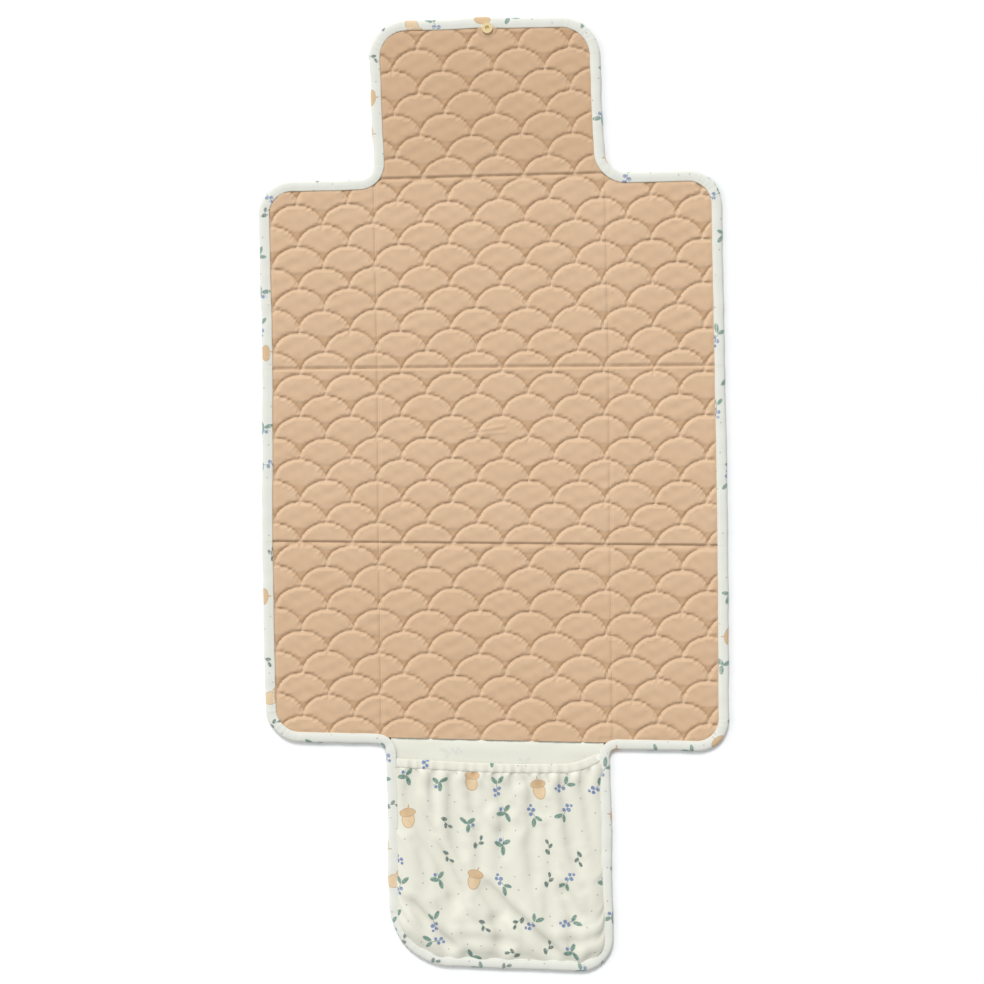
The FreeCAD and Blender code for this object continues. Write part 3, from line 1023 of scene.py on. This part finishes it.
def cotton_surface(nodes, colour, thread, strength, depth, roughness, sheen, gloss):
    """Plain weave of crossing threads in the given colour, a little fuzzy and not glossy."""
    where = nodes.cloth_uv()
    place = nodes.split(where)
    waves = [nodes.math("SINE", nodes.times(place[axis], 2 * math.pi / thread)) for axis in (0, 1)]
    height = nodes.math("ADD", nodes.times(*waves), nodes.times(nodes.noise(where, 900.0), 1.5))
    rough = nodes.remap(height, -1.0, 2.0, *roughness)
    shine = {"Sheen Weight": sheen, "Sheen Roughness": 0.5, "Specular IOR Level": gloss}
    return nodes.surface(colour, rough, nodes.bump(height, strength, depth), **shine)


def stitches(nodes, along, away, pitch, gap):
    """A mask of the threads on a line of stitching, gap being the share of a stitch left out."""
    cycle = nodes.math("FRACT", nodes.math("DIVIDE", along, pitch))
    dash = nodes.remap(nodes.apart(cycle, 0.5), gap, gap + 0.06, 1.0, 0.0)
    return nodes.times(dash, nodes.remap(away, 0.25 * MM, 0.45 * MM, 1.0, 0.0))


def quilted_cotton():
    nodes = Nodes("quilted_cotton")
    where = nodes.cloth_uv()
    place = nodes.split(where)
    beside_wing = nodes.apart(nodes.math("ABSOLUTE", place[0]), WING_SEAM)
    # painted shade: darker over the tab, where the light falls off
    tab_painted_shade = nodes.remap(place[1], SHOULDER - 20 * MM, SHOULDER + 30 * MM, 0.0, 0.28)
    # painted shade: a little darker over the lower rows, where the light falls off
    lower_rows_painted_shade = nodes.remap(place[1], MIDDLE_SEAM - 50 * MM, MIDDLE_SEAM + 30 * MM, 0.11, 0.0)
    # the panels are also sewn together along the folds of the wings, with painted shade in the crease beside
    # that seam
    wing_crease_painted_shade = nodes.remap(beside_wing, 0.3 * MM, 1.8 * MM, 0.22, 0.0)
    arcs = stitches(nodes, nodes.attribute("stitch_along"), nodes.attribute("stitch_away"), 3.2 * MM, 0.36)
    wings = stitches(nodes, place[1], beside_wing, 3.2 * MM, 0.36)
    colour = nodes.mix(nodes.noise(where, 14.0, 3.0), rgb(202, 171, 139), rgb(210, 180, 149))
    for share, shade in (
        (tab_painted_shade, rgb(176, 142, 106)),
        (lower_rows_painted_shade, rgb(176, 142, 106)),
        (wing_crease_painted_shade, rgb(168, 130, 96)),
        # painted shade on the downward slope just above each arc
        (nodes.times(nodes.attribute("above"), 0.37), rgb(176, 137, 99)),
        # painted shade in the slack notches between the arcs, where the cloth lies low
        (nodes.times(nodes.attribute("slack"), 0.46), rgb(178, 140, 102)),
        # painted highlight on the upward slope just below each arc
        (nodes.times(nodes.attribute("below"), 0.06), rgb(228, 204, 176)),
        (nodes.times(nodes.math("MAXIMUM", arcs, wings), 0.6), rgb(222, 199, 172)),
    ):
        colour = nodes.mix(share, colour, shade)
    return cotton_surface(nodes, colour, 0.7 * MM, 0.25, 0.1 * MM, (0.78, 0.92), 0.12, 0.25)


# the printed motifs as ellipses: x, y, half length and half width in millimetres, and turn
BERRY_LEAVES = ((-5.4, 1.9, 3.4, 1.5, -0.5), (-4.2, -2.0, 2.8, 1.3, 0.7))
BERRIES = (
    (0.2, 1.4, 1.35, 1.35, 0), (2.0, -1.2, 1.45, 1.45, 0), (3.7, 1.2, 1.3, 1.3, 0), (5.2, -0.9, 1.1, 1.1, 0),
)
LEAVES = ((0.2, 2.9, 3.4, 1.7, 1.3), (-3.4, -0.6, 3.4, 1.5, 0.15), (2.3, -1.8, 3.0, 1.5, -0.9))
LEAF_BERRY = ((3.0, 2.0, 1.5, 1.2, 0),)
SPRIG = ((-3.0, 0.9, 2.3, 1.4, 0.6), (0.8, -1.2, 1.9, 1.2, -0.6), (3.4, 1.1, 1.9, 1.1, 0.5))


def ellipse(nodes, where, x, y, length, width, turn, soft=0.25):
    """A mask that is 1 inside an ellipse, sizes in millimetres."""
    size = {"Location": (x * MM, y * MM, 0), "Scale": (length * MM, width * MM, 1)}
    values = {"Vector": where, "Rotation": (0, 0, turn), **size}
    place = nodes.add("ShaderNodeMapping", values, vector_type="TEXTURE")[0]
    return nodes.remap(nodes.vector("LENGTH", place), 1.0 - soft, 1.0, 1.0, 0.0)


def motif(nodes, where, chosen, shapes):
    """The mask of a few ellipses, in the cells where that motif is chosen."""
    return nodes.times(chosen, nodes.joined([ellipse(nodes, where, *shape) for shape in shapes]))


def between(nodes, value, start, end):
    return nodes.times(nodes.math("GREATER_THAN", value, start), nodes.math("LESS_THAN", value, end))


def printed_cotton(name, cream, ink, stitched=False):
    """Cream cotton with a scattered print of berry sprigs, leaves, acorns and dots."""
    nodes = Nodes(name)
    where = nodes.cloth_uv()

    def scattered(origin, pitch, randomness):
        values = {"Vector": origin, "Scale": 1 / pitch, "Randomness": randomness}
        return nodes.add("ShaderNodeTexVoronoi", values, voronoi_dimensions="2D")

    def turned(origin, angle):
        values = {"Vector": origin, "Angle": angle}
        return nodes.add("ShaderNodeVectorRotate", values, rotation_type="Z_AXIS")[0]

    def watercolour(scale, dark, light):
        return nodes.mix(nodes.noise(where, scale, 1.0), rgb(*dark), rgb(*light))

    cells = scattered(where, 35 * MM, 0.62)
    pick, spin = nodes.add("ShaderNodeSeparateColor", {0: cells["Color"]})[:2]
    flat = nodes.vector("SUBTRACT", where, cells["Position"])
    flat = nodes.vector("MULTIPLY", flat, (0.62, 0.62, 0.0))
    here = turned(flat, nodes.times(spin, 2 * math.pi))
    stand = turned(flat, nodes.math("MULTIPLY_ADD", spin, 0.9, -0.45))

    berries = between(nodes, pick, -1.0, 0.30)
    leaves = between(nodes, pick, 0.30, 0.55)
    acorns = between(nodes, pick, 0.55, 0.72)
    sprigs = between(nodes, pick, 0.72, 2.0)

    green = [motif(nodes, here, berries, BERRY_LEAVES), motif(nodes, here, leaves, LEAVES)]
    blue = [motif(nodes, here, berries, BERRIES), motif(nodes, here, leaves, LEAF_BERRY)]
    stalk = ellipse(nodes, here, 0.0, 0.0, 6.8, 0.32, 0.12, 0.5)
    nut = ellipse(nodes, stand, 0.0, -1.6, 4.3, 5.6, 0.0, 0.08)
    nut_core = ellipse(nodes, stand, 0.0, -1.6, 3.8, 5.1, 0.0, 0.10)
    cap = ellipse(nodes, stand, 0.0, 3.0, 5.4, 3.0, 0.0, 0.08)
    cap_core = ellipse(nodes, stand, 0.0, 3.0, 4.9, 2.5, 0.0, 0.12)
    stub = ellipse(nodes, stand, 0.8, 6.6, 0.5, 1.7, -0.3, 0.3)
    filled = nodes.math("MAXIMUM", nodes.math("SUBTRACT", nut_core, cap, clamp=True), cap_core)

    dots = scattered(nodes.vector("ADD", where, (13.1 * MM, 7.7 * MM, 0.0)), 19 * MM, 0.8)
    speck = nodes.remap(dots["Distance"], 0.036, 0.052, 1.0, 0.0)
    clear = nodes.math("GREATER_THAN", nodes.vector("LENGTH", flat), 8.0 * MM)

    paint = nodes.times(nodes.remap(nodes.noise(where, 520.0), 0.3, 0.7, 0.62, 1.0), ink)
    warm = tuple(c * k for c, k in zip(cream, (0.985, 0.975, 0.95, 1.0)))
    colour = nodes.mix(nodes.noise(where, 11.0), cream, warm)
    for mask, shade in (
        (nodes.times(nodes.math("SUBTRACT", 1.0, acorns), stalk), rgb(120, 140, 128)),
        (nodes.times(acorns, nodes.joined([nut, cap, stub])), rgb(184, 146, 104)),
        (nodes.times(acorns, filled), rgb(222, 198, 162)),
        (nodes.times(acorns, cap_core, nodes.noise(where, 1400.0, 0.0)), rgb(186, 146, 100)),
        (nodes.joined(green), watercolour(260.0, (50, 98, 90), (96, 142, 126))),
        (motif(nodes, here, sprigs, SPRIG), watercolour(300.0, (52, 74, 74), (86, 112, 108))),
        (nodes.joined(blue), watercolour(700.0, (52, 78, 136), (112, 140, 190))),
        (nodes.times(speck, clear, 0.8), rgb(150, 146, 138)),
    ):
        colour = nodes.mix(nodes.times(mask, paint), colour, shade)
    if stitched:
        along, across = nodes.split(where)[:2]
        away = nodes.apart(across, STITCH_AT)
        # painted shade along the dent of the line of stitching
        colour = nodes.mix(nodes.remap(away, 0.2 * MM, 1.2 * MM, 0.16, 0.0), colour, rgb(206, 200, 184))
        thread = stitches(nodes, along, away, 3.4 * MM, 0.34)
        colour = nodes.mix(nodes.times(thread, 0.6), colour, rgb(232, 230, 220))
    return cotton_surface(nodes, colour, 0.55 * MM, 0.22, 0.08 * MM, (0.82, 0.95), 0.08, 0.2)


def elastic_webbing():
    nodes = Nodes("elastic_webbing")
    values = {"Vector": nodes.cloth_uv(), "Scale": 320.0}
    ribs = nodes.add("ShaderNodeTexWave", values, wave_type="BANDS", bands_direction="Y")["Fac"]
    colour = nodes.mix(ribs, rgb(222, 220, 212), rgb(242, 240, 234))
    return nodes.surface(colour, 0.7, nodes.bump(ribs, 0.4, 0.1 * MM))


def brushed_metal(name, first, second, roughness, metallic=1.0):
    nodes = Nodes(name)
    where = nodes.object_place()
    worn = nodes.noise(where, 420.0, 3.0)
    rough = nodes.remap(worn, 0.2, 0.8, roughness * 0.8, roughness * 1.25)
    normal = nodes.bump(nodes.noise(where, 2600.0, 1.0), 0.08, 0.05 * MM)
    return nodes.surface(nodes.mix(worn, first, second), rough, normal, Metallic=metallic)


def felt(name, first, second):
    nodes = Nodes(name)
    fuzz = nodes.noise(nodes.object_place(), 1500.0, 3.0)
    return nodes.surface(nodes.mix(fuzz, first, second), 0.95, nodes.bump(fuzz, 0.4, 0.1 * MM))


def snap_materials():
    """The press stud's own CAD parts are shown, in metal, with felt for its patches."""
    gold = brushed_metal("pale_gold", rgb(250, 230, 176), rgb(240, 216, 158), 0.32, 0.55)
    steel = brushed_metal("spring_steel", rgb(196, 196, 196), rgb(168, 168, 170), 0.28)
    stiff = felt("stiff_interlining", rgb(236, 234, 228), rgb(218, 216, 208))
    for name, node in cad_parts.items():
        if name.startswith("snap_"):
            material = stiff if name.endswith("_patch") else steel if name.endswith("_spring") else gold
            node.data.materials.clear()
            node.data.materials.append(material)


# -------- stage, light, camera

FLOOR_HALF = 6.0
CAMERA_HEIGHT = 3.0
VIEW_WIDTH = 0.984
SENSOR_WIDTH = 36


def stage():
    corners = [(x * FLOOR_HALF, y * FLOOR_HALF, 0) for x, y in ((-1, -1), (1, -1), (1, 1), (-1, 1))]
    floor = new_object("floor", corners, [(0, 1, 2, 3)])
    pale = Nodes("pale_floor").surface((0.885, 0.885, 0.885, 1), 0.9, **{"Specular IOR Level": 0.1})
    floor.data.materials.append(pale)


def soft_light(name, direction, power, spread):
    """A sun that shines along the direction, its disc spread over that many degrees."""
    sun = bpy.data.lights.new(name, "SUN")
    sun.energy = power
    sun.angle = math.radians(spread)
    placed(name, sun).rotation_euler = Vector(direction).to_track_quat("-Z", "Y").to_euler()


def light_and_camera():
    scene = bpy.context.scene
    world = bpy.data.worlds.new("studio")
    world.use_nodes = True
    background = world.node_tree.nodes["Background"]
    background.inputs[0].default_value = (0.97, 0.985, 1, 1)
    background.inputs[1].default_value = 0.54
    scene.world = world
    soft_light("key", (0.22, -1.0, -0.90), 2.35, 20)
    soft_light("side", (1.0, -0.25, -0.62), 0.75, 30)
    data = bpy.data.cameras.new("camera")
    data.sensor_width = SENSOR_WIDTH
    data.lens = SENSOR_WIDTH * CAMERA_HEIGHT / VIEW_WIDTH
    scene.camera = placed("camera", data)
    scene.camera.location = (-2 * MM, 0, CAMERA_HEIGHT)
    scene.camera.rotation_euler = (0, 0, math.radians(-0.85))
    scene.view_settings.view_transform = "Standard"


light_and_camera()
stage()
printed = printed_cotton("printed_cotton", rgb(217, 216, 203), 1.0)
edging = printed_cotton("printed_binding", rgb(217, 218, 210), 0.9, stitched=True)
inner = printed_cotton("pocket_inside_cotton", rgb(220, 220, 208), 0.10)
quilt_pieces(quilted_cotton())
back_pieces(printed)
binding_pieces(edging)
pocket_hem(printed, elastic_webbing(), pocket_front(printed))
pocket_lining(inner)
snap_materials()
